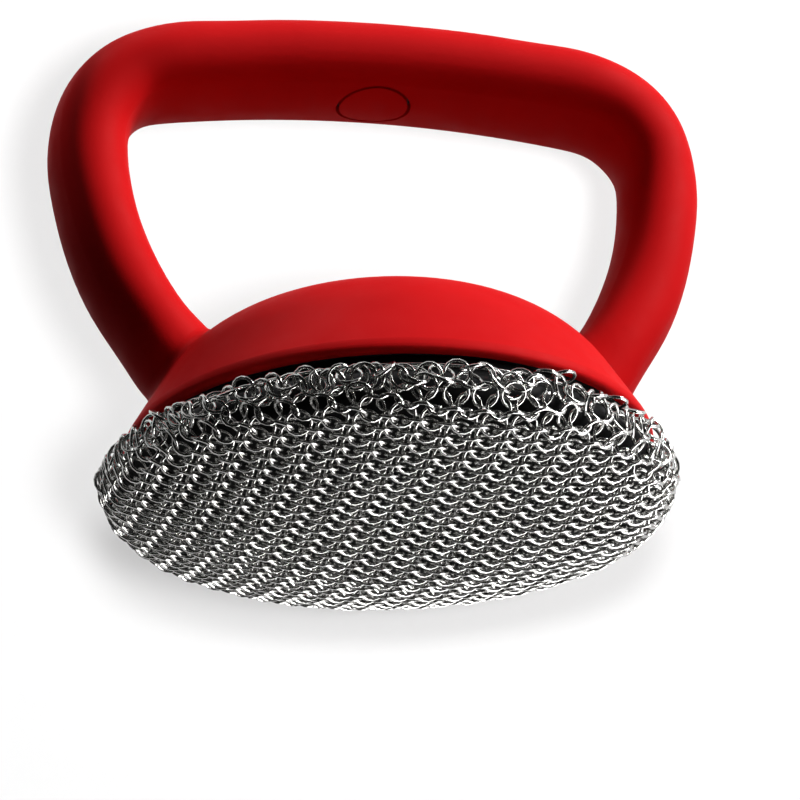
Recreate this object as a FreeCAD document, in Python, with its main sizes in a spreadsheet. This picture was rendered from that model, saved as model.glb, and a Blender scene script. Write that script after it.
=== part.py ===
import FreeCAD, Part
import math
import os
import re
import Sketcher
from FreeCAD import Vector

# Pot scrubber: a red soft-touch loop handle on a flared dome, and a black pad in a chainmail cover under it.
# Z is up, the bottom of the mail stands on Z = 0 and the grip runs along X. Lengths in mm, angles in degrees.

doc = FreeCAD.newDocument("pot_scrubber")
sheet = doc.addObject("Spreadsheet::Sheet", "Sizes")

sizes = {
    # loop grip: its outer width, its top above the rim, the path and oval of the bar, and the share of
    # half its thickness that rounds the front and back of the oval
    "loop_width": 147,
    "grip_rise": 104,
    "arch_radius": 304,
    "corner_radius": 20.5,
    "grip_thickness": 17.4,
    "grip_depth": 29.8,
    "leg_depth": 24,
    "oval_share": 0.9,
    # where the middle of a leg ends inside the dome, as shares of the rim's radius and the dome's rise
    "foot_radius_share": 0.738,
    "foot_height_share": 0.541,
    # dome under the loop
    "rim_height": 18,
    "rim_radius": 57.5,
    "lip_height": 2.3,
    "rim_rounding": 1.2,
    "lip_rounding": 3,
    "wall_lean": 31,
    "shoulder_radius": 31.5,
    "dome_radius": 170,
    "dome_rise": 31.8,
    "junction_radius": 2.5,
    # soft skin over a stiff core
    "skin_wall": 2,
    "core_wall": 3,
    "bond_gap": 0.3,
    # flush plug in the underside of the grip
    "plug_diameter": 15.4,
    "plug_gap": 0.7,
    "stem_diameter": 8,
    "stem_length": 7,
    "stem_gap": 0.3,
    # screw down the hole in the dome's top
    "access_diameter": 15,
    "seat_depth": 9.5,
    "screw_diameter": 5,
    "screw_length": 14,
    "screw_gap": 0.3,
    "head_diameter": 8.5,
    "head_height": 5,
    "socket_width": 4,
    "socket_depth": 2.6,
    "washer_diameter": 10,
    "washer_thickness": 1,
    # boss of the core, the web under the screw and the square key of the plate
    "core_boss_diameter": 24,
    "web_thickness": 3.7,
    "key_width": 13,
    "key_height": 4,
    "key_gap": 0.3,
    # carrier plate, its boss and its ribs
    "plate_thickness": 3.5,
    "plate_gap": 0.5,
    "boss_diameter": 22,
    "rib_count": 6,
    "rib_thickness": 2.4,
    "rib_height": 5,
    "rib_margin": 5.5,
    # brass insert in the plate's boss
    "insert_diameter": 7,
    "insert_length": 9,
    "insert_depth": 0.5,
    "insert_gap": 0.3,
    "tip_gap": 0.5,
    # line that the middles of the rings follow: flat, crown, edge, skirt
    "flat_radius": 26,
    "crown_radius": 117,
    "mail_radius": 60.5,
    "edge_radius": 6,
    "skirt_lean": 30,
    # rings and their four-in-one weave: the gap along a row, the share of a ring from row to row on the bottom
    # and round the skirt, and how far the last rings of the bottom and the first of the skirt reach into the edge
    "ring_diameter": 6.1,
    "ring_wire": 0.75,
    "ring_lean": 30,
    "ring_gap": 0.4,
    "row_share": 0.377,
    "skirt_row_share": 0.344,
    "weave_turn": 4,
    "base_radius": 20,
    "field_reach": 2.6,
    "skirt_reach": 9.6,
    "skirt_rows": 4,
    # pad inside the mail
    "mail_gap": 0.3,
    "rim_gap": 0.3,
    # wire that gathers the edge of the mail, in a groove of the pad
    "gather_diameter": 1,
    "gather_drop": 2.7,
    "gather_gap": 0.15,
    # how far a cut runs past the face that it opens
    "overrun": 5,
}

for row, (name, value) in enumerate(sizes.items(), start=1):
    sheet.set(f"A{row}", name)
    sheet.set(f"B{row}", str(value))
    sheet.setAlias(f"B{row}", name)
doc.recompute()


def number(text):
    return float(sheet.evalExpression(text))


def bind(item, path, text):
    linked = re.sub(r"[a-z_]+", lambda word: "Sizes." + word[0] if word[0] in sizes else word[0], text)
    item.setExpression(path, linked)


# Sums of sizes that several pieces share.
dome_top = "(rim_height + dome_rise)"
screw_seat = f"({dome_top} - seat_depth)"
pad_top = "(rim_height - rim_gap)"
plate_top = f"({pad_top} + plate_thickness)"
key_top = f"({screw_seat} - web_thickness - key_gap)"
boss_top = f"({key_top} - key_height)"
insert_foot = f"({key_top} - insert_depth - insert_length)"
grip_under = "(rim_height + grip_rise - grip_thickness)"
core_inset = "(skin_wall + bond_gap)"
hollow_inset = "(skin_wall + core_wall)"
mail_half = "((ring_diameter - ring_wire) / 2 * sin(ring_lean) + ring_wire / 2)"
pad_inset = f"({mail_half} + mail_gap)"
crown_end = "asin((mail_radius - edge_radius - flat_radius) / (crown_radius - edge_radius))"
edge_height = f"({mail_half} + crown_radius - (crown_radius - edge_radius) * cos({crown_end}))"


def new_body(label):
    body = doc.addObject("PartDesign::Body", label)
    body.Label = label
    return body


def new_sketch(body, name, role, height=None):
    sketch = body.newObject("Sketcher::SketchObject", name)
    plane = next(item for item in body.Origin.OriginFeatures if item.Role == role)
    sketch.AttachmentSupport = [(plane, "")]
    sketch.MapMode = "FlatFace"
    if height:
        bind(sketch, "AttachmentOffset.Base.z", height)
    return sketch


def fix(sketch, kind, *place, text):
    index = sketch.addConstraint(Sketcher.Constraint(kind, *place, number(text)))
    bind(sketch, f"Constraints[{index}]", text)


def arc_between(start, end, radius):
    # Counterclockwise arc, so its middle lies to the left of the way from start to end.
    way = end - start
    left = Vector(-way.y, way.x, 0).normalize()
    middle = (start + end) * 0.5 + left * math.sqrt(radius ** 2 - way.Length ** 2 / 4)
    first = math.atan2(start.y - middle.y, start.x - middle.x)
    last = math.atan2(end.y - middle.y, end.x - middle.x)
    return Part.ArcOfCircle(Part.Circle(middle, Vector(0, 0, 1), radius), first, last)


def outline(body, name, role, corners, bends=None, height=None):
    # Closed outline through the corners, counterclockwise; bends names the radius of the sides that are arcs.
    bends = bends or {}
    sketch = new_sketch(body, name, role, height)
    points = [Vector(number(across), number(up), 0) for across, up in corners]
    count = len(points)
    for side in range(count):
        start = points[side]
        end = points[(side + 1) % count]
        if side in bends:
            sketch.addGeometry(arc_between(start, end, number(bends[side])))
        else:
            sketch.addGeometry(Part.LineSegment(start, end))
    for side, (across, up) in enumerate(corners):
        sketch.addConstraint(Sketcher.Constraint("Coincident", (side - 1) % count, 2, side, 1))
        fix(sketch, "DistanceX", -1, 1, side, 1, text=across)
        fix(sketch, "DistanceY", -1, 1, side, 1, text=up)
    for side, radius in bends.items():
        fix(sketch, "Radius", side, text=radius)
    return sketch


def disc(body, name, diameter, height):
    sketch = new_sketch(body, name, "XY_Plane", height)
    sketch.addGeometry(Part.Circle(Vector(0, 0, 0), Vector(0, 0, 1), number(diameter) / 2))
    sketch.addConstraint(Sketcher.Constraint("Coincident", 0, 3, -1, 1))
    fix(sketch, "Diameter", 0, text=diameter)
    return sketch


def square(body, name, width, height):
    half = f"{width} / 2"
    less = f"-{width} / 2"
    corners = [(less, less), (half, less), (half, half), (less, half)]
    return outline(body, name, "XY_Plane", corners, height=height)


def revolve(body, sketch):
    turned = body.newObject("PartDesign::Revolution", body.Label + "_turned")
    turned.Profile = sketch
    turned.ReferenceAxis = (sketch, ["V_Axis"])
    turned.Angle = 360
    body.Tip = turned
    doc.recompute()
    return turned


def extrude(body, sketch, length):
    raised = body.newObject("PartDesign::Pad", sketch.Name + "_raised")
    raised.Profile = sketch
    bind(raised, "Length", length)
    body.Tip = raised
    doc.recompute()
    return raised


def sink(body, sketch, length):
    sunk = body.newObject("PartDesign::Pocket", sketch.Name + "_sunk")
    sunk.Profile = sketch
    bind(sunk, "Length", length)
    body.Tip = sunk
    doc.recompute()
    return sunk


def cylinder(name, diameter, foot, height):
    post = doc.addObject("Part::Cylinder", name)
    bind(post, "Radius", f"({diameter}) / 2")
    bind(post, "Height", height)
    bind(post, "Placement.Base.z", foot)
    return post


def fuse(name, *items):
    joined = doc.addObject("Part::MultiFuse", name)
    joined.Shapes = list(items)
    return joined


def cut(name, base, *tools):
    left = doc.addObject("Part::Cut", name)
    left.Base = base
    left.Tool = tools[0] if len(tools) == 1 else fuse(name + "_tools", *tools)
    return left


def common(name, base, tool):
    shared = doc.addObject("Part::Common", name)
    shared.Base = base
    shared.Tool = tool
    return shared


# Loop of the grip: an oval bar, deepest along the top, that follows an arch, two corners and two legs.
half_width = number("(loop_width - grip_thickness) / 2")
bar_height = number("rim_height + grip_rise - grip_thickness / 2")
arch_radius = number("arch_radius")
corner_radius = number("corner_radius")
foot_across = number("rim_radius * foot_radius_share")
foot_height = number("rim_height + dome_rise * foot_height_share")
corner_across = half_width - corner_radius
corner_height = bar_height - arch_radius + math.sqrt((arch_radius - corner_radius) ** 2 - corner_across ** 2)
leg_drop = corner_height - foot_height
leg_inward = half_width - foot_across
leg_radius = (leg_inward ** 2 + leg_drop ** 2) / (2 * leg_inward)
arch_turn = math.asin(corner_across / (arch_radius - corner_radius))
corner_turn = math.pi / 2 - arch_turn
leg_turn = math.asin(leg_drop / leg_radius)
arch_steps = 4
corner_steps = 3
leg_steps = 5


def stations():
    # Middle, turn from level and depth of the bar, from the top down one side.
    bar_depth = number("grip_depth")
    leg_depth = number("leg_depth")
    places = []
    for step in range(arch_steps + 1):
        turn = arch_turn * step / arch_steps
        across = arch_radius * math.sin(turn)
        height = bar_height - arch_radius * (1 - math.cos(turn))
        places.append((across, height, turn, bar_depth))
    for step in range(1, corner_steps + 1):
        share = step / corner_steps
        turn = arch_turn + corner_turn * share
        across = corner_across + corner_radius * math.sin(turn)
        height = corner_height + corner_radius * math.cos(turn)
        places.append((across, height, turn, bar_depth + (leg_depth - bar_depth) * share))
    for step in range(1, leg_steps + 1):
        turn = leg_turn * step / leg_steps
        across = half_width - leg_radius * (1 - math.cos(turn))
        height = corner_height - leg_radius * math.sin(turn)
        places.append((across, height, math.pi / 2 + turn, leg_depth))
    return places


def oval(across, height, turn, depth, inset):
    # Four arcs: two tight ones at the front and back, two flat ones over the top and under the bottom.
    thick = number("grip_thickness") / 2 - inset
    deep = depth / 2 - inset
    tight = number("grip_thickness / 2 * oval_share") - inset
    reach = deep - tight
    wide = (reach ** 2 + thick ** 2 - tight ** 2) / (2 * (thick - tight))
    join_angle = math.atan2(wide - thick, reach)
    join_deep = reach + tight * math.cos(join_angle)
    join_thick = tight * math.sin(join_angle)
    middle = Vector(across, 0, height)
    outward = Vector(math.sin(turn), 0, math.cos(turn))
    back = Vector(0, 1, 0)

    def spot(along_depth, along_thick):
        return middle + back * along_depth + outward * along_thick

    arcs = [
        Part.Arc(spot(-join_deep, join_thick), spot(0, thick), spot(join_deep, join_thick)),
        Part.Arc(spot(join_deep, join_thick), spot(deep, 0), spot(join_deep, -join_thick)),
        Part.Arc(spot(join_deep, -join_thick), spot(0, -thick), spot(-join_deep, -join_thick)),
        Part.Arc(spot(-join_deep, -join_thick), spot(-deep, 0), spot(-join_deep, join_thick)),
    ]
    return Part.Wire([arc.toShape() for arc in arcs])


def loop(name, inset):
    places = stations()
    mirrored = [(-across, height, -turn, depth) for across, height, turn, depth in places[:0:-1]]
    wires = [oval(*place, number(inset)) for place in mirrored + places]
    bar = doc.addObject("Part::Feature", name)
    bar.Shape = Part.makeLoft(wires, True, False)
    return bar


def dome(name, inset):
    # Upright lip, leaning wall, shoulder and shallow crown, each side tangent to the next.
    body = new_body(name)
    sketch = new_sketch(body, name + "_outline", "XZ_Plane")
    rim = number(f"rim_radius - {inset}")
    foot = number("rim_height")
    lip = number("rim_height + lip_height")
    top = number(f"{dome_top} - {inset}")
    lean = math.radians(number("wall_lean"))
    shoulder = number(f"shoulder_radius - {inset}")
    crown = number(f"dome_radius - {inset}")
    along = Vector(-math.sin(lean), math.cos(lean), 0)
    inward = Vector(-math.cos(lean), -math.sin(lean), 0)
    corner = Vector(rim, lip, 0)
    crown_middle = Vector(0, top - crown, 0)
    start = corner + inward * shoulder - crown_middle
    slope = start.dot(along)
    climb = math.sqrt(slope ** 2 - start.Length ** 2 + (crown - shoulder) ** 2) - slope
    wall_end = corner + along * climb
    shoulder_middle = wall_end + inward * shoulder
    shoulder_end = crown_middle + (shoulder_middle - crown_middle).normalize() * crown
    sketch.addGeometry(Part.LineSegment(Vector(0, foot, 0), Vector(rim, foot, 0)))
    sketch.addGeometry(Part.LineSegment(Vector(rim, foot, 0), corner))
    sketch.addGeometry(Part.LineSegment(corner, wall_end))
    sketch.addGeometry(arc_between(wall_end, shoulder_end, shoulder))
    sketch.addGeometry(arc_between(shoulder_end, Vector(0, top, 0), crown))
    sketch.addGeometry(Part.LineSegment(Vector(0, top, 0), Vector(0, foot, 0)))
    sketch.addConstraint(Sketcher.Constraint("Coincident", 0, 2, 1, 1))
    sketch.addConstraint(Sketcher.Constraint("Coincident", 1, 2, 2, 1))
    sketch.addConstraint(Sketcher.Constraint("Tangent", 2, 2, 3, 1))
    sketch.addConstraint(Sketcher.Constraint("Tangent", 3, 2, 4, 1))
    sketch.addConstraint(Sketcher.Constraint("Coincident", 4, 2, 5, 1))
    sketch.addConstraint(Sketcher.Constraint("Coincident", 5, 2, 0, 1))
    sketch.addConstraint(Sketcher.Constraint("Horizontal", 0))
    sketch.addConstraint(Sketcher.Constraint("Vertical", 1))
    sketch.addConstraint(Sketcher.Constraint("PointOnObject", 0, 1, -2))
    sketch.addConstraint(Sketcher.Constraint("PointOnObject", 4, 2, -2))
    sketch.addConstraint(Sketcher.Constraint("PointOnObject", 4, 3, -2))
    fix(sketch, "DistanceY", -1, 1, 0, 1, text="rim_height")
    fix(sketch, "DistanceX", -1, 1, 1, 1, text=f"rim_radius - {inset}")
    fix(sketch, "DistanceY", -1, 1, 1, 2, text="rim_height + lip_height")
    fix(sketch, "DistanceY", -1, 1, 4, 2, text=f"{dome_top} - {inset}")
    fix(sketch, "Radius", 3, text=f"shoulder_radius - {inset}")
    fix(sketch, "Radius", 4, text=f"dome_radius - {inset}")
    angle = sketch.addConstraint(Sketcher.Constraint("Angle", 2, math.pi / 2 + lean))
    bind(sketch, f"Constraints[{angle}]", "(90 + wall_lean) * 1 deg")
    revolve(body, sketch)
    return body


# Soft red skin: loop and dome in one, filleted where they meet, hollow for the core.
loop_outside = loop("loop_outside", "0")
dome_outside = dome("dome_outside", "0")
skin_form = fuse("skin_form", loop_outside, dome_outside)
doc.recompute()
skin_rounded = doc.addObject("Part::Fillet", "skin_rounded")
skin_rounded.Base = skin_form


def edges_of(faces):
    return {edge.hashCode() for face in faces for edge in face.Edges}


def rounded(first, second, rounding):
    # Edges of the skin that lie between two groups of its faces, each with the radius to round it by.
    radius = number(rounding)
    return [
        (index, radius, radius)
        for index, edge in enumerate(skin_form.Shape.Edges, start=1)
        if edge.hashCode() in first and edge.hashCode() in second
    ]


skin_faces = skin_form.Shape.Faces
loft_edges = edges_of(face for face in skin_faces if isinstance(face.Surface, Part.BSplineSurface))
dome_edges = edges_of(face for face in skin_faces if not isinstance(face.Surface, Part.BSplineSurface))
foot_edges = edges_of(face for face in skin_faces if isinstance(face.Surface, Part.Plane))
lip_edges = edges_of(face for face in skin_faces if isinstance(face.Surface, Part.Cylinder))
wall_edges = edges_of(face for face in skin_faces if isinstance(face.Surface, Part.Cone))
skin_rounded.Edges = (
    rounded(loft_edges, dome_edges, "junction_radius")
    + rounded(foot_edges, lip_edges, "rim_rounding")
    + rounded(lip_edges, wall_edges, "lip_rounding")
)
loop_bore = loop("loop_bore", "skin_wall")
dome_bore = dome("dome_bore", "skin_wall")
access_hole = cylinder("access_hole", "access_diameter", screw_seat, "seat_depth + overrun")
plug_hole = cylinder(
    "plug_hole", "plug_diameter + 2 * plug_gap", f"{grip_under} - overrun", "overrun + grip_thickness / 2"
)
handle_skin = cut("handle_skin", skin_rounded, loop_bore, dome_bore, access_hole, plug_hole)

# Stiff core inside the skin: bar and dome shell, with the boss that the screw pulls on.
loop_core = loop("loop_core", core_inset)
dome_core = dome("dome_core", core_inset)
core_form = fuse("core_form", loop_core, dome_core)
hollow = dome("hollow", hollow_inset)
core_shell = cut("core_shell", core_form, hollow)
boss_length = f"{dome_top} - {hollow_inset} + core_wall / 2 - {boss_top}"
core_boss = cylinder("core_boss", "core_boss_diameter", boss_top, boss_length)
core_solid = fuse("core_solid", core_shell, core_boss)
screw_hole = cylinder(
    "screw_hole", "screw_diameter + 2 * screw_gap", f"{boss_top} - overrun", f"{dome_top} - {boss_top}"
)
key_body = new_body("key_hole")
key_square = square(key_body, "key_hole_outline", "(key_width + 2 * key_gap)", f"{boss_top} - overrun")
extrude(key_body, key_square, "overrun + key_height + key_gap")
stem_hole_length = "overrun + skin_wall + stem_length + stem_gap"
stem_hole = cylinder(
    "stem_hole", "stem_diameter + 2 * stem_gap", f"{grip_under} - overrun", stem_hole_length
)
handle_core = cut("handle_core", core_solid, access_hole, screw_hole, key_body, stem_hole)

# Flush plug: its face follows the underside of the grip, its stem sits in the core.
plug_post = cylinder("plug_post", "plug_diameter", f"{grip_under} - overrun", "overrun + grip_thickness / 2")
plug_face = cut("plug_face", common("plug_blank", plug_post, loop_outside), loop_bore)
plug_stem = cylinder(
    "plug_stem", "stem_diameter", f"{grip_under} + skin_wall / 2", "skin_wall / 2 + stem_length"
)
grip_plug = fuse("grip_plug", plug_face, plug_stem)

# Socket-head screw, its washer and the brass insert that it turns in.
clamp_screw = new_body("clamp_screw")
head_foot = f"({screw_seat} + washer_thickness)"
screw_outline = outline(clamp_screw, "screw_outline", "XZ_Plane", [
    ("0", f"{head_foot} - screw_length"),
    ("screw_diameter / 2", f"{head_foot} - screw_length"),
    ("screw_diameter / 2", head_foot),
    ("head_diameter / 2", head_foot),
    ("head_diameter / 2", f"{head_foot} + head_height"),
    ("0", f"{head_foot} + head_height"),
])
revolve(clamp_screw, screw_outline)
hexagon_radius = "socket_width / 2 / cos(30)"
hexagon = [
    (f"{hexagon_radius} * cos({turn})", f"{hexagon_radius} * sin({turn})")
    for turn in range(0, 360, 60)
]
socket = outline(clamp_screw, "socket", "XY_Plane", hexagon, height=f"{head_foot} + head_height")
sink(clamp_screw, socket, "socket_depth")

screw_washer = new_body("screw_washer")
extrude(screw_washer, disc(screw_washer, "washer_disc", "washer_diameter", screw_seat), "washer_thickness")
washer_hole = disc(screw_washer, "washer_hole", "screw_diameter + 2 * screw_gap", head_foot)
sink(screw_washer, washer_hole, "washer_thickness")

threaded_insert = new_body("threaded_insert")
insert_disc = disc(threaded_insert, "insert_disc", "insert_diameter", insert_foot)
extrude(threaded_insert, insert_disc, "insert_length")
insert_top = f"{insert_foot} + insert_length"
insert_hole = disc(threaded_insert, "insert_hole", "screw_diameter + 2 * screw_gap", insert_top)
sink(threaded_insert, insert_hole, "insert_length")

# Carrier plate: disc, boss with a square key on it, and radial ribs.
carrier_plate = new_body("carrier_plate")
plate_radius = f"(rim_radius - {hollow_inset} - plate_gap)"
plate_outline = outline(carrier_plate, "plate_outline", "XZ_Plane", [
    ("0", pad_top),
    (plate_radius, pad_top),
    (plate_radius, plate_top),
    ("boss_diameter / 2", plate_top),
    ("boss_diameter / 2", boss_top),
    ("0", boss_top),
])
revolve(carrier_plate, plate_outline)
extrude(carrier_plate, square(carrier_plate, "key_outline", "key_width", boss_top), "key_height")
rib_outline = outline(carrier_plate, "rib_outline", "XY_Plane", [
    ("boss_diameter / 4", "-rib_thickness / 2"),
    (f"{plate_radius} - rib_margin", "-rib_thickness / 2"),
    (f"{plate_radius} - rib_margin", "rib_thickness / 2"),
    ("boss_diameter / 4", "rib_thickness / 2"),
], height=plate_top)
rib = extrude(carrier_plate, rib_outline, "rib_height")
ribs = carrier_plate.newObject("PartDesign::PolarPattern", "ribs")
ribs.Originals = [rib]
ribs.Axis = (rib_outline, ["N_Axis"])
ribs.Angle = 360
bind(ribs, "Occurrences", "rib_count")
carrier_plate.Tip = ribs
doc.recompute()
bore = disc(carrier_plate, "bore", "insert_diameter + 2 * insert_gap", key_top)
sink(carrier_plate, bore, "insert_depth + insert_length + tip_gap")

# Black pad: it fills the mail up to the plate, and a groove round its top takes the gathering wire.
scrub_pad = new_body("scrub_pad")
pad_foot = f"(2 * {mail_half} + mail_gap)"
edge_end = (
    f"mail_radius - edge_radius + (edge_radius - {pad_inset}) * cos(skirt_lean)",
    f"{edge_height} + (edge_radius - {pad_inset}) * sin(skirt_lean)",
)
pad_outline = outline(scrub_pad, "pad_outline", "XZ_Plane", [
    ("0", pad_foot),
    ("flat_radius", pad_foot),
    (
        f"flat_radius + (crown_radius - {pad_inset}) * sin({crown_end})",
        f"{pad_foot} + (crown_radius - {pad_inset}) * (1 - cos({crown_end}))",
    ),
    edge_end,
    (f"{edge_end[0]} - ({pad_top} - ({edge_end[1]})) * tan(skirt_lean)", pad_top),
    ("0", pad_top),
], bends={1: f"crown_radius - {pad_inset}", 2: f"edge_radius - {pad_inset}"})
revolve(scrub_pad, pad_outline)
gather_height = f"({pad_top} - gather_drop)"
skirt_at_wire = f"{edge_end[0]} - ({gather_height} - ({edge_end[1]})) * tan(skirt_lean)"
gather_radius = f"({skirt_at_wire} - gather_diameter / 2)"
groove_sketch = new_sketch(scrub_pad, "groove_outline", "XZ_Plane")
groove_middle = Vector(number(gather_radius), number(gather_height), 0)
groove_radius = "gather_diameter / 2 + gather_gap"
groove_sketch.addGeometry(Part.Circle(groove_middle, Vector(0, 0, 1), number(groove_radius)))
fix(groove_sketch, "DistanceX", -1, 1, 0, 3, text=gather_radius)
fix(groove_sketch, "DistanceY", -1, 1, 0, 3, text=gather_height)
fix(groove_sketch, "Radius", 0, text=groove_radius)
groove = scrub_pad.newObject("PartDesign::Groove", "groove")
groove.Profile = groove_sketch
groove.ReferenceAxis = (groove_sketch, ["V_Axis"])
groove.Angle = 360
scrub_pad.Tip = groove
doc.recompute()

edge_wire = doc.addObject("Part::Torus", "edge_wire")
bind(edge_wire, "Radius1", gather_radius)
bind(edge_wire, "Radius2", "gather_diameter / 2")
bind(edge_wire, "Placement.Base.z", gather_height)

# Chainmail. Each ring is a solid of its own, its middle on the mail line. Alternate rows lean opposite ways.
ring_radius = number("(ring_diameter - ring_wire) / 2")
wire_radius = number("ring_wire / 2")
ring_lean = math.radians(number("ring_lean"))
ring_pitch = number("ring_diameter + ring_gap")
row_pitch = number("ring_diameter * row_share")
weave_turn = math.radians(number("weave_turn"))
flat_radius = number("flat_radius")
crown_radius = number("crown_radius")
edge_radius = number("edge_radius")
crown_turn = math.radians(number(crown_end))
skirt_turn = math.pi / 2 + math.radians(number("skirt_lean"))
crown_length = flat_radius + crown_radius * crown_turn
edge_length = crown_length + edge_radius * (skirt_turn - crown_turn)
edge_across = number("mail_radius - edge_radius")
edge_middle = number(edge_height)
mail_foot = number(mail_half)


def mail_line(length):
    # Radius, height and slope of the mail line at a length along it from the middle.
    if length <= flat_radius:
        return length, mail_foot, 0.0
    if length <= crown_length:
        slope = (length - flat_radius) / crown_radius
        across = flat_radius + crown_radius * math.sin(slope)
        return across, mail_foot + crown_radius * (1 - math.cos(slope)), slope
    beyond = max(0, length - edge_length)
    slope = min(crown_turn + (length - crown_length) / edge_radius, skirt_turn)
    across = edge_across + edge_radius * math.sin(slope) + beyond * math.cos(slope)
    height = edge_middle - edge_radius * math.cos(slope) + beyond * math.sin(slope)
    return across, height, slope


def ring(length, turn, row, row_way):
    # A ring at a length along the mail line; its row runs at the angle row_way from the outward way.
    across, height, slope = mail_line(length)
    middle = Vector(across * math.cos(turn), across * math.sin(turn), height)
    outward = Vector(math.cos(turn) * math.cos(slope), math.sin(turn) * math.cos(slope), math.sin(slope))
    around = Vector(-math.sin(turn), math.cos(turn), 0)
    normal = Vector(math.cos(turn) * math.sin(slope), math.sin(turn) * math.sin(slope), -math.cos(slope))
    over_row = around * math.cos(row_way) - outward * math.sin(row_way)
    lean = ring_lean if row % 2 else -ring_lean
    axis = normal * math.cos(lean) + over_row * math.sin(lean)
    return Part.makeTorus(ring_radius, wire_radius, middle, axis)


def field_rings(inner, outer):
    # Straight rows across the bottom, laid over the dished surface from the middle outward.
    rings = []
    row_reach = math.ceil(outer / row_pitch)
    ring_reach = math.ceil(outer / ring_pitch)
    for row in range(-row_reach, row_reach + 1):
        for place in range(-ring_reach, ring_reach + 1):
            along = (place + (0.5 if row % 2 else 0)) * ring_pitch
            length = math.hypot(along, row * row_pitch)
            if inner < length <= outer or length == inner == 0:
                turn = math.atan2(row * row_pitch, along)
                rings.append(ring(length, turn + weave_turn, row, -turn))
    return rings


def skirt_rings():
    # Rows round the skirt, above the edge.
    rings = []
    rows = int(number("skirt_rows"))
    skirt_pitch = number("ring_diameter * skirt_row_share")
    first = edge_length + number("ring_diameter / 2 - skirt_reach")
    narrowest = mail_line(first + (rows - 1) * skirt_pitch)[0]
    count = math.floor(2 * math.pi * narrowest / ring_pitch)
    for row in range(rows):
        for place in range(count):
            turn = 2 * math.pi * (place + (0.5 if row % 2 else 0)) / count
            rings.append(ring(first + row * skirt_pitch, turn, row, math.pi / 2))
    return rings


def mail(name, rings):
    group = doc.addObject("Part::Feature", name)
    group.Shape = Part.makeCompound(rings)
    return group


mail_base = mail("mail_base", field_rings(0, number("base_radius")))
field_end = crown_length + number("field_reach - ring_diameter / 2")
mail_field = mail("mail_field", field_rings(number("base_radius"), field_end))
mail_skirt = mail("mail_skirt", skirt_rings())
doc.recompute()

nodes = [
    handle_skin, handle_core, grip_plug, clamp_screw, screw_washer, threaded_insert,
    carrier_plate, scrub_pad, edge_wire, mail_base, mail_field, mail_skirt,
]
for item in doc.Objects:
    if "Invalid" in item.State or "Error" in item.State:
        raise RuntimeError(f"{item.Name} did not build")
os.makedirs("parts", exist_ok=True)
for node in nodes:
    if node.Shape.isNull() or not node.Shape.isValid():
        raise RuntimeError(f"{node.Label} is not a valid shape")
    node.Shape.exportStep(f"parts/{node.Label}.step")
    print(node.Label, len(node.Shape.Solids), "solids", round(node.Shape.Volume), "mm3")
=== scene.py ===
import bpy
import bmesh
import math
import random
from mathutils import Matrix, Vector


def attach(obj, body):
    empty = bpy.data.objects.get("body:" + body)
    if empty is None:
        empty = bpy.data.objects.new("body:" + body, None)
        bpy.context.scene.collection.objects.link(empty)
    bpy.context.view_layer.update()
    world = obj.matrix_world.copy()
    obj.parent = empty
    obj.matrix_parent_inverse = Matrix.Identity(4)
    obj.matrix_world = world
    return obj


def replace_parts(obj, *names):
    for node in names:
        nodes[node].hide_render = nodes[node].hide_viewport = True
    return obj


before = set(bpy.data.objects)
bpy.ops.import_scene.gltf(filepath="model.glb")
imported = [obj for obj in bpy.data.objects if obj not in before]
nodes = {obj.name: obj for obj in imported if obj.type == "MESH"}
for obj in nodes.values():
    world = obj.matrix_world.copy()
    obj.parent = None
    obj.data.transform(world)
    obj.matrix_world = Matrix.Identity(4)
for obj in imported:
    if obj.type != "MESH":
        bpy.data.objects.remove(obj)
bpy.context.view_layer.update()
mm = 0.001
print("frame loaded:", len(nodes), "CAD nodes")


# Camera: in front of the scrubber and below it, looking up at the mail and the underside of the grip.
# Angles are in degrees, lens and sensor in millimetres, the other lengths in metres.
shot = {"azimuth": -13.01, "elevation": -25.70, "roll": -2.43, "distance": 0.9238,
        "lens": 188.6, "sensor": 36.0, "near": 0.05, "far": 20,
        "aim": Vector((0.0, 0.0, 0.0603)), "aimPixel": (380.75, 285.4), "frame": 800}


def makeCamera(s):
    azimuth, elevation, roll = (math.radians(s[key]) for key in ("azimuth", "elevation", "roll"))
    back = Vector((math.sin(azimuth) * math.cos(elevation), -math.cos(azimuth) * math.cos(elevation),
                   math.sin(elevation)))
    right = Vector((math.cos(azimuth), math.sin(azimuth), 0))
    up = back.cross(right)
    right, up = right * math.cos(roll) + up * math.sin(roll), up * math.cos(roll) - right * math.sin(roll)

    # The camera turns a little, so that the aim falls on its own pixel and not on the middle of the frame.
    focal = s["lens"] / s["sensor"] * s["frame"]
    offX = (s["frame"] / 2 - s["aimPixel"][0]) / focal
    offY = (s["aimPixel"][1] - s["frame"] / 2) / focal
    newBack = (back - right * offX - up * offY).normalized()
    newUp = (up - newBack * up.dot(newBack)).normalized()
    newRight = newUp.cross(newBack)

    data = bpy.data.cameras.new("photoCamera")
    data.lens = s["lens"]
    data.sensor_width = s["sensor"]
    data.clip_start = s["near"]
    data.clip_end = s["far"]
    camera = bpy.data.objects.new("photoCamera", data)
    bpy.context.scene.collection.objects.link(camera)
    turn = Matrix((newRight, newUp, newBack)).transposed()
    camera.matrix_world = Matrix.Translation(s["aim"] + back * s["distance"]) @ turn.to_4x4()
    bpy.context.scene.camera = camera
    return back, right, up


viewBack, viewRight, viewUp = makeCamera(shot)
print("camera placed")


def linearColour(hexColour):
    parts = [int(hexColour[i:i + 2], 16) / 255 for i in (0, 2, 4)]
    return [p / 12.92 if p <= 0.04045 else ((p + 0.055) / 1.055) ** 2.4 for p in parts] + [1.0]


# A pattern's scale, from the size of its features in millimetres.
def perMetre(featureMm):
    return 1 / (featureMm * mm)


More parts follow.
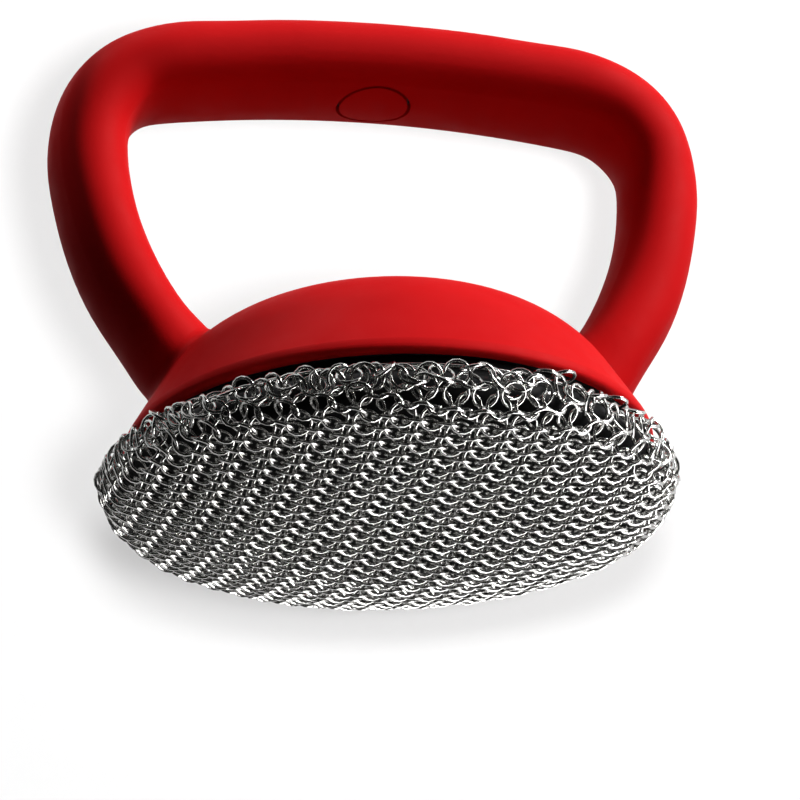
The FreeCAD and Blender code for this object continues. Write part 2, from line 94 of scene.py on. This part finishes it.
# A noise keeps mostly between 0.3 and 0.7, and these settings spread it over the given range.
def noiseRange(lowHigh):
    return {"From Min": 0.3, "From Max": 0.7, "To Min": lowHigh[0], "To Max": lowHigh[1]}


def addNode(tree, kind, links=None, **settings):
    made = tree.nodes.new(kind)
    for key, value in settings.items():
        if key in made.inputs:
            made.inputs[key].default_value = value
        else:
            setattr(made, key, value)
    for socket, source in (links or {}).items():
        tree.links.new(source, made.inputs[socket])
    return made


def newMaterial(name):
    material = bpy.data.materials.new(name)
    material.use_nodes = True
    material.node_tree.nodes.clear()
    return material, material.node_tree


# Soft-touch elastomer, moulded: satin red, deep in the shade, with a very fine grain and hardly any gloss.
softTouch = {"deep": "cc1014", "bright": "d81518", "cloudMm": 30,
             "grainMm": 0.35, "grainDepth": 0.03, "grain": 0.25,
             "patchMm": 6, "roughness": (0.58, 0.68), "specular": 0.045}


def redSoftTouch(s):
    material, tree = newMaterial("redSoftTouch")
    place = addNode(tree, "ShaderNodeTexCoord").outputs["Object"]
    clouds = addNode(tree, "ShaderNodeTexNoise", {"Vector": place}, Scale=perMetre(s["cloudMm"]), Detail=3.0)
    share = addNode(tree, "ShaderNodeMapRange", {"Value": clouds.outputs["Fac"]}, **noiseRange((0, 1)))
    tone = addNode(tree, "ShaderNodeMix", {"Factor": share.outputs["Result"]}, data_type="RGBA",
                   A=linearColour(s["deep"]), B=linearColour(s["bright"]))
    grain = addNode(tree, "ShaderNodeTexNoise", {"Vector": place}, Scale=perMetre(s["grainMm"]), Detail=3.0)
    bump = addNode(tree, "ShaderNodeBump", {"Height": grain.outputs["Fac"]}, Strength=s["grain"],
                   Distance=s["grainDepth"] * mm)
    patches = addNode(tree, "ShaderNodeTexNoise", {"Vector": place}, Scale=perMetre(s["patchMm"]), Detail=2.0)
    rough = addNode(tree, "ShaderNodeMapRange", {"Value": patches.outputs["Fac"]},
                    **noiseRange(s["roughness"]))
    shader = addNode(tree, "ShaderNodeBsdfPrincipled",
                     {"Base Color": tone.outputs["Result"], "Roughness": rough.outputs["Result"],
                      "Normal": bump.outputs["Normal"]}, **{"Specular IOR Level": s["specular"]})
    addNode(tree, "ShaderNodeOutputMaterial", {"Surface": shader.outputs["BSDF"]})
    return material


# Stainless wire, drawn: bright, a little uneven along its length, with fine marks that break the highlights.
drawnWire = {"dull": "adacaa", "bright": "cccbc8", "toneMm": 9,
             "markMm": 0.4, "markDepth": 0.02, "mark": 0.2,
             "patchMm": 1.2, "roughness": (0.1, 0.22)}


def stainlessWire(s):
    material, tree = newMaterial("stainlessWire")
    place = addNode(tree, "ShaderNodeTexCoord").outputs["Object"]
    patches = addNode(tree, "ShaderNodeTexNoise", {"Vector": place}, Scale=perMetre(s["patchMm"]), Detail=2.0)
    rough = addNode(tree, "ShaderNodeMapRange", {"Value": patches.outputs["Fac"]},
                    **noiseRange(s["roughness"]))
    share = addNode(tree, "ShaderNodeTexNoise", {"Vector": place}, Scale=perMetre(s["toneMm"]), Detail=2.0)
    tone = addNode(tree, "ShaderNodeMix", {"Factor": share.outputs["Fac"]}, data_type="RGBA",
                   A=linearColour(s["dull"]), B=linearColour(s["bright"]))
    marks = addNode(tree, "ShaderNodeTexNoise", {"Vector": place}, Scale=perMetre(s["markMm"]), Detail=2.0)
    bump = addNode(tree, "ShaderNodeBump", {"Height": marks.outputs["Fac"]}, Strength=s["mark"],
                   Distance=s["markDepth"] * mm)
    shader = addNode(tree, "ShaderNodeBsdfPrincipled",
                     {"Base Color": tone.outputs["Result"], "Roughness": rough.outputs["Result"],
                      "Normal": bump.outputs["Normal"]}, Metallic=1.0)
    addNode(tree, "ShaderNodeOutputMaterial", {"Surface": shader.outputs["BSDF"]})
    return material


# Black silicone, moulded: near black and matte, with a faint mottled grain.
padRubber = {"deep": "070708", "worn": "0e0e0f", "toneMm": 5,
             "grainMm": 0.5, "grainDepth": 0.05, "grain": 0.3,
             "roughness": (0.55, 0.7), "specular": 0.12}


def blackSilicone(s):
    material, tree = newMaterial("blackSilicone")
    place = addNode(tree, "ShaderNodeTexCoord").outputs["Object"]
    share = addNode(tree, "ShaderNodeTexNoise", {"Vector": place}, Scale=perMetre(s["toneMm"]), Detail=3.0)
    tone = addNode(tree, "ShaderNodeMix", {"Factor": share.outputs["Fac"]}, data_type="RGBA",
                   A=linearColour(s["deep"]), B=linearColour(s["worn"]))
    grain = addNode(tree, "ShaderNodeTexNoise", {"Vector": place}, Scale=perMetre(s["grainMm"]), Detail=3.0)
    bump = addNode(tree, "ShaderNodeBump", {"Height": grain.outputs["Fac"]}, Strength=s["grain"],
                   Distance=s["grainDepth"] * mm)
    rough = addNode(tree, "ShaderNodeMapRange", {"Value": grain.outputs["Fac"]},
                    **noiseRange(s["roughness"]))
    shader = addNode(tree, "ShaderNodeBsdfPrincipled",
                     {"Base Color": tone.outputs["Result"], "Roughness": rough.outputs["Result"],
                      "Normal": bump.outputs["Normal"]}, **{"Specular IOR Level": s["specular"]})
    addNode(tree, "ShaderNodeOutputMaterial", {"Surface": shader.outputs["BSDF"]})
    return material


# Moulded plastic of the hidden core and plate: dark and dull, with a spark-eroded texture.
corePlastic = {"dark": "1c1c1e", "light": "26262a", "toneMm": 12,
               "grainMm": 0.6, "grainDepth": 0.04, "grain": 0.3, "roughness": (0.45, 0.6)}


def mouldedPlastic(s):
    material, tree = newMaterial("mouldedPlastic")
    place = addNode(tree, "ShaderNodeTexCoord").outputs["Object"]
    grain = addNode(tree, "ShaderNodeTexNoise", {"Vector": place}, Scale=perMetre(s["grainMm"]), Detail=4.0)
    bump = addNode(tree, "ShaderNodeBump", {"Height": grain.outputs["Fac"]}, Strength=s["grain"],
                   Distance=s["grainDepth"] * mm)
    share = addNode(tree, "ShaderNodeTexNoise", {"Vector": place}, Scale=perMetre(s["toneMm"]), Detail=2.0)
    tone = addNode(tree, "ShaderNodeMix", {"Factor": share.outputs["Fac"]}, data_type="RGBA",
                   A=linearColour(s["dark"]), B=linearColour(s["light"]))
    rough = addNode(tree, "ShaderNodeMapRange", {"Value": grain.outputs["Fac"]},
                    **noiseRange(s["roughness"]))
    shader = addNode(tree, "ShaderNodeBsdfPrincipled",
                     {"Base Color": tone.outputs["Result"], "Roughness": rough.outputs["Result"],
                      "Normal": bump.outputs["Normal"]})
    addNode(tree, "ShaderNodeOutputMaterial", {"Surface": shader.outputs["BSDF"]})
    return material


# Turned metal: fine rings round the part's axis that break up the highlight.
lathe = {"steel": ("a9aaab", "cfd0d0"), "brass": ("a67c33", "c99d4c"),
         "ringMm": 0.6, "waver": 0.6, "ringDepth": 0.02, "ring": 0.15,
         "patchMm": 0.8, "roughness": (0.25, 0.38)}


def turnedMetal(name, tones, s):
    material, tree = newMaterial(name)
    place = addNode(tree, "ShaderNodeTexCoord").outputs["Object"]
    rings = addNode(tree, "ShaderNodeTexWave", {"Vector": place}, wave_type="RINGS", rings_direction="Z",
                    Scale=perMetre(s["ringMm"]), Distortion=s["waver"])
    tone = addNode(tree, "ShaderNodeMix", {"Factor": rings.outputs["Fac"]}, data_type="RGBA",
                   A=linearColour(tones[0]), B=linearColour(tones[1]))
    patches = addNode(tree, "ShaderNodeTexNoise", {"Vector": place}, Scale=perMetre(s["patchMm"]), Detail=2.0)
    rough = addNode(tree, "ShaderNodeMapRange", {"Value": patches.outputs["Fac"]},
                    **noiseRange(s["roughness"]))
    bump = addNode(tree, "ShaderNodeBump", {"Height": rings.outputs["Fac"]}, Strength=s["ring"],
                   Distance=s["ringDepth"] * mm)
    shader = addNode(tree, "ShaderNodeBsdfPrincipled",
                     {"Base Color": tone.outputs["Result"], "Roughness": rough.outputs["Result"],
                      "Normal": bump.outputs["Normal"]}, Metallic=1.0)
    addNode(tree, "ShaderNodeOutputMaterial", {"Surface": shader.outputs["BSDF"]})
    return material


red = redSoftTouch(softTouch)
steelWire = stainlessWire(drawnWire)
silicone = blackSilicone(padRubber)
plastic = mouldedPlastic(corePlastic)
steel = turnedMetal("turnedSteel", lathe["steel"], lathe)
brass = turnedMetal("turnedBrass", lathe["brass"], lathe)
cadFinish = {"handle_skin": red, "grip_plug": red, "handle_core": plastic, "carrier_plate": plastic,
             "clamp_screw": steel, "screw_washer": steel, "threaded_insert": brass, "edge_wire": steelWire,
             "scrub_pad": silicone, "mail_base": steelWire, "mail_field": steelWire, "mail_skirt": steelWire}
for name, material in cadFinish.items():
    nodes[name].data.materials.clear()
    nodes[name].data.materials.append(material)
print("materials made")


def finishPiece(bm, name, material):
    bmesh.ops.recalc_face_normals(bm, faces=bm.faces)
    for face in bm.faces:
        face.smooth = True
    mesh = bpy.data.meshes.new(name)
    bm.to_mesh(mesh)
    bm.free()
    mesh.materials.append(material)
    piece = bpy.data.objects.new(name, mesh)
    bpy.context.scene.collection.objects.link(piece)
    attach(piece, "root")
    return piece


# Head: the mail hangs on a soft pad, so the bottom sits a little low in front and on the right, and its upper
# edge stays level under the rim. Below the height free it hangs in full, and at the height level not at all.
head = {"low": 0.036, "lean": -0.018, "side": -0.4, "reach": 60.0, "level": 17.0, "free": 9.0}


def settle(point, h):
    across = min(1.0, point.xy.length / (h["reach"] * mm)) ** 2
    hang = across * min(1.0, max(0.0, (h["level"] * mm - point.z) / ((h["level"] - h["free"]) * mm)))
    return point + Vector((h["side"] * mm * hang, 0, (h["low"] * point.y + h["lean"] * point.x) * hang))


# Chainmail: four-in-one rings on a dished head, in millimetres and degrees. The rows run across the bottom
# and turn up over the edge. Past the length loose the rings tip and shift, and under the rim they crowd below
# a ragged ceiling, which is lowest at the front left.
mail = {"ringDiameter": 6.1, "wire": 0.8, "wireSides": 5, "ringSides": 14, "merge": 0.001,
        "lean": 30, "pitch": 6.5, "row": 2.3, "turn": 4.0,
        "flat": 26, "crown": 117, "radius": 60.5, "edge": 6, "skirtLean": 30, "tuck": 2.4, "tuckLean": 72,
        "baseEnd": 20, "fieldEnd": 58, "end": 70.5, "ragged": 0.8,
        "seed": 7, "steady": 1.5, "loose": 60, "tip": 20, "shift": 0.5, "shiftRadius": 60, "lift": 0.5,
        "ceiling": 15.9, "drop": 1.0, "dropAt": -126, "push": 0.35}


# The head's profile: along gives the reach, height and slope at a length from the middle, skirt the length to
# where the edge has turned up.
def mailShape(m):
    half = (m["ringDiameter"] - m["wire"]) / 2 * math.sin(math.radians(m["lean"])) + m["wire"] / 2
    crownTurn = math.asin((m["radius"] - m["edge"] - m["flat"]) / (m["crown"] - m["edge"]))
    skirtTurn = math.pi / 2 + math.radians(m["skirtLean"])
    tuckTurn = math.pi / 2 + math.radians(m["tuckLean"])
    skirt = m["flat"] + m["crown"] * crownTurn + m["edge"] * (skirtTurn - crownTurn)
    bends = [(m["crown"], crownTurn), (m["edge"], skirtTurn), (m["tuck"], tuckTurn)]

    def along(length):
        across, height, slope, left = min(length, m["flat"]), half, 0.0, length - m["flat"]
        for radius, turn in bends:
            if left <= 0:
                break
            bend = min(left / radius, turn - slope)
            across += radius * (math.sin(slope + bend) - math.sin(slope))
            height += radius * (math.cos(slope) - math.cos(slope + bend))
            slope += bend
            left -= radius * bend
        if left > 0:
            across += left * math.cos(slope)
            height += left * math.sin(slope)
        return across, height, slope

    return along, skirt


def ringTemplate(m):
    bm = bmesh.new()
    radius = (m["ringDiameter"] - m["wire"]) / 2 * mm
    turned = Matrix.Translation((radius, 0, 0)) @ Matrix.Rotation(math.pi / 2, 4, "X")
    circle = bmesh.ops.create_circle(bm, segments=m["wireSides"], radius=m["wire"] / 2 * mm, matrix=turned)
    edges = list({edge for vert in circle["verts"] for edge in vert.link_edges})
    bmesh.ops.spin(bm, geom=circle["verts"] + edges, cent=(0, 0, 0), axis=(0, 0, 1), angle=2 * math.pi,
                   steps=m["ringSides"], use_merge=True)
    bmesh.ops.remove_doubles(bm, verts=bm.verts, dist=m["merge"] * mm)
    bmesh.ops.recalc_face_normals(bm, faces=bm.faces)
    mesh = bpy.data.meshes.new("ringTemplate")
    bm.to_mesh(mesh)
    bm.free()
    return mesh


# One ring's middle and axis: way is its direction from the head's axis, angle the same against the rows.
def ringPlace(spot, way, angle, lean, twist, lift):
    across, height, slope = spot
    outward = Vector((math.cos(way) * math.cos(slope), math.sin(way) * math.cos(slope), math.sin(slope)))
    around = Vector((-math.sin(way), math.cos(way), 0))
    normal = Vector((math.cos(way) * math.sin(slope), math.sin(way) * math.sin(slope), -math.cos(slope)))
    alongRow = outward * math.cos(angle) - around * math.sin(angle)
    overRow = outward * math.sin(angle) + around * math.cos(angle)
    axis = normal * math.cos(lean) + overRow * math.sin(lean)
    axis = axis * math.cos(twist) + alongRow * math.sin(twist)
    middle = Vector((across * math.cos(way), across * math.sin(way), height)) + normal * lift
    return middle, axis.normalized()


def mailRings(m):
    along = mailShape(m)[0]
    dice = random.Random(m["seed"])
    turn = math.radians(m["turn"])
    dropAt = math.radians(m["dropAt"])
    rowReach = int(m["end"] / m["row"]) + 1
    ringReach = int(m["end"] / m["pitch"]) + 1
    for row in range(-rowReach, rowReach + 1):
        for place in range(-ringReach, ringReach + 1):
            x = (place + (0.5 if row % 2 else 0)) * m["pitch"]
            y = row * m["row"]
            length = math.hypot(x, y)
            if length > m["end"] + dice.uniform(-m["ragged"], m["ragged"]):
                continue
            loose = min(1, max(0, (length - m["loose"]) / (m["end"] - m["loose"])))
            angle = math.atan2(y, x) + loose * dice.gauss(0, m["shift"]) / m["shiftRadius"]
            way = angle + turn
            wobble = m["steady"] + loose * m["tip"]
            lean = math.radians((m["lean"] if row % 2 else -m["lean"]) + dice.gauss(0, wobble))
            twist = math.radians(dice.gauss(0, wobble))
            lift = loose * dice.uniform(0, m["lift"])
            ceiling = m["ceiling"] - m["drop"] * max(0, math.cos(way - dropAt)) ** 2
            ceiling += dice.uniform(-m["ragged"], m["ragged"])
            reach = length + loose * dice.gauss(0, m["shift"])
            middle, axis = ringPlace(along(reach), way, angle, lean, twist, lift)

            # A ring that stands through the ceiling is pushed back along the profile.
            while (middle.z + m["ringDiameter"] / 2 * math.hypot(axis.x, axis.y) > ceiling
                   and reach > m["fieldEnd"]):
                reach -= m["push"]
                middle, axis = ringPlace(along(reach), way, angle, lean, twist, lift)
            yield length, settle(middle * mm, head), axis


def mailGroup(length, m):
    if length <= m["baseEnd"]:
        return "mailBase"
    return "mailField" if length <= m["fieldEnd"] else "mailSkirt"


def makeMail(m):
    template = ringTemplate(m)
    groups = {"mailBase": bmesh.new(), "mailField": bmesh.new(), "mailSkirt": bmesh.new()}
    count = 0
    for length, middle, axis in mailRings(m):
        ring = template.copy()
        ring.transform(Matrix.Translation(middle) @ axis.to_track_quat("Z", "Y").to_matrix().to_4x4())
        groups[mailGroup(length, m)].from_mesh(ring)
        bpy.data.meshes.remove(ring)
        count += 1
    bpy.data.meshes.remove(template)
    for (name, bm), node in zip(groups.items(), ("mail_base", "mail_field", "mail_skirt")):
        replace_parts(finishPiece(bm, name, steelWire), node)
    return count


print("mail rings:", makeMail(mail))


# Pad: black silicone that fills the mail, with a waist under the rim that shows as a black band.
pad = {"inset": 2.0, "waist": 54.0, "waistHeight": 15.6, "top": 17.7, "topRadius": 55.0,
       "steps": 96, "points": 40, "merge": 0.01}


def makePad(p, m):
    along, skirt = mailShape(m)
    outline = []
    for k in range(p["points"] + 1):
        across, height, slope = along(skirt * k / p["points"])
        outline.append((across - p["inset"] * math.sin(slope), height + p["inset"] * math.cos(slope)))
    outline += [(p["waist"], p["waistHeight"]), (p["topRadius"], p["top"]), (0.0, p["top"])]
    bm = bmesh.new()
    verts = [bm.verts.new((across * mm, 0, height * mm)) for across, height in outline]
    edges = [bm.edges.new(pair) for pair in zip(verts, verts[1:])]
    bmesh.ops.spin(bm, geom=verts + edges, cent=(0, 0, 0), axis=(0, 0, 1), angle=2 * math.pi,
                   steps=p["steps"], use_merge=True)
    bmesh.ops.remove_doubles(bm, verts=bm.verts, dist=p["merge"] * mm)
    for vert in bm.verts:
        vert.co = settle(vert.co, head)
    piece = finishPiece(bm, "siliconePad", silicone)
    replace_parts(piece, "scrub_pad")


makePad(pad, mail)
print("pad made")


# Stage: a white board close behind that takes the soft shadow, and a pale floor seen only from above. Both
# glow for the camera, the board for the steel too, and otherwise give the object next to no light.
stage = {"boardGap": 0.095, "boardSize": 2.4, "floorSize": 3.0, "glow": 0.47, "paper": 0.28,
         "floorGlow": 0.45, "floorPaper": 0.6, "bounce": 0.06, "room": 0.012}


def stageMaterial(name, glowLevel, paperLevel, bounceLevel):
    material, tree = newMaterial(name)
    path = addNode(tree, "ShaderNodeLightPath")
    seen = addNode(tree, "ShaderNodeMath",
                   {0: path.outputs["Is Camera Ray"], 1: path.outputs["Is Glossy Ray"]}, operation="MAXIMUM")
    seen = addNode(tree, "ShaderNodeMath",
                   {0: seen.outputs[0], 1: path.outputs["Is Transmission Ray"]}, operation="MAXIMUM")
    glow = addNode(tree, "ShaderNodeEmission", Color=(1, 1, 1, 1), Strength=glowLevel)
    paper = addNode(tree, "ShaderNodeBsdfDiffuse", Color=(paperLevel, paperLevel, paperLevel, 1))
    lit = addNode(tree, "ShaderNodeAddShader", {0: glow.outputs[0], 1: paper.outputs[0]})
    dull = addNode(tree, "ShaderNodeBsdfDiffuse", Color=(bounceLevel, bounceLevel, bounceLevel, 1))
    front = addNode(tree, "ShaderNodeMixShader", {0: seen.outputs[0], 1: dull.outputs[0], 2: lit.outputs[0]})
    clear = addNode(tree, "ShaderNodeBsdfTransparent")
    side = addNode(tree, "ShaderNodeNewGeometry").outputs["Backfacing"]
    hidden = addNode(tree, "ShaderNodeMath", {0: side, 1: path.outputs["Is Shadow Ray"]}, operation="MAXIMUM")
    both = addNode(tree, "ShaderNodeMixShader",
                   {0: hidden.outputs[0], 1: front.outputs[0], 2: clear.outputs[0]})
    addNode(tree, "ShaderNodeOutputMaterial", {"Surface": both.outputs[0]})
    return material


def stagePlane(name, middle, normal, size, material):
    bm = bmesh.new()
    turn = normal.to_track_quat("Z", "Y").to_matrix().to_4x4()
    bmesh.ops.create_grid(bm, x_segments=1, y_segments=1, size=size / 2,
                          matrix=Matrix.Translation(middle) @ turn)
    mesh = bpy.data.meshes.new(name)
    bm.to_mesh(mesh)
    bm.free()
    mesh.materials.append(material)
    plane = bpy.data.objects.new(name, mesh)
    bpy.context.scene.collection.objects.link(plane)
    return plane


paperBoard = stageMaterial("paperBoard", stage["glow"], stage["paper"], stage["bounce"])
stagePlane("backBoard", shot["aim"] - viewBack * stage["boardGap"], viewBack, stage["boardSize"], paperBoard)
paperFloor = stageMaterial("paperFloor", stage["floorGlow"], stage["floorPaper"], stage["bounce"])
floor = stagePlane("floor", Vector((0, 0, 0)), Vector((0, 0, 1)), stage["floorSize"], paperFloor)
floor.visible_diffuse = False
floor.visible_glossy = False
floor.visible_transmission = False
floor.visible_shadow = False


def viewPoint(right, up, back):
    return shot["aim"] + viewRight * right + viewUp * up + viewBack * back


# Lamps, each with its place, size and power: a soft key high on the right and a weaker one under it, one over
# the top of the loop and a faint one on the left. Two low ones light the steel rings alone, and two by the
# camera throw the shadows of handle and head on the board.
lamps = {"keySoftbox": (Vector((0.9, -0.6, 0.8)), 0.35, 16.5),
         "rightSoftbox": (Vector((1.0, -0.7, 0.4)), 0.35, 5.0),
         "topSoftbox": (Vector((-0.4, -0.1, 1.25)), 0.35, 4.2),
         "leftSoftbox": (Vector((-1.0, -0.5, 0.6)), 0.35, 0.4),
         "lowSoftbox": (Vector((0.85, -0.15, -0.65)), 0.9, 15.0),
         "backSoftbox": (Vector((0.6, 0.35, -0.85)), 0.8, 13.5),
         "handleShadow": (viewPoint(0.1, 0.01, 1.0), 0.1, 10.4),
         "headShadow": (viewPoint(0.02, 0.13, 1.0), 0.1, 10.4)}


def areaLamp(name, place, aim, size, power):
    data = bpy.data.lights.new(name, "AREA")
    data.shape = "DISK"
    data.size = size
    data.energy = power
    lamp = bpy.data.objects.new(name, data)
    bpy.context.scene.collection.objects.link(lamp)
    lamp.location = place
    lamp.rotation_euler = (aim - place).to_track_quat("-Z", "Y").to_euler()
    return lamp


def lampGroup(name, members):
    group = bpy.data.collections.new(name)
    for member in members:
        group.objects.link(bpy.data.objects[member])
    return group


placed = {}
for name, (place, size, power) in lamps.items():
    placed[name] = areaLamp(name, place, shot["aim"], size, power)
onlyBoard = lampGroup("onlyBoard", ["backBoard"])
onlyMail = lampGroup("onlyMail", ["mailBase", "mailField", "mailSkirt"])
onlyHead = lampGroup("onlyHead", ["mailBase", "mailField", "mailSkirt", "siliconePad"])
for name in ("lowSoftbox", "backSoftbox"):
    placed[name].light_linking.receiver_collection = onlyMail
for name in ("handleShadow", "headShadow"):
    placed[name].light_linking.receiver_collection = onlyBoard
placed["headShadow"].light_linking.blocker_collection = onlyHead

world = bpy.data.worlds.new("studio")
world.use_nodes = True
world.node_tree.nodes.clear()
room = addNode(world.node_tree, "ShaderNodeBackground", Color=(1, 1, 1, 1), Strength=stage["room"])
addNode(world.node_tree, "ShaderNodeOutputWorld", {"Surface": room.outputs[0]})
bpy.context.scene.world = world
bpy.context.scene.view_settings.view_transform = "Standard"
print("stage and lamps set")
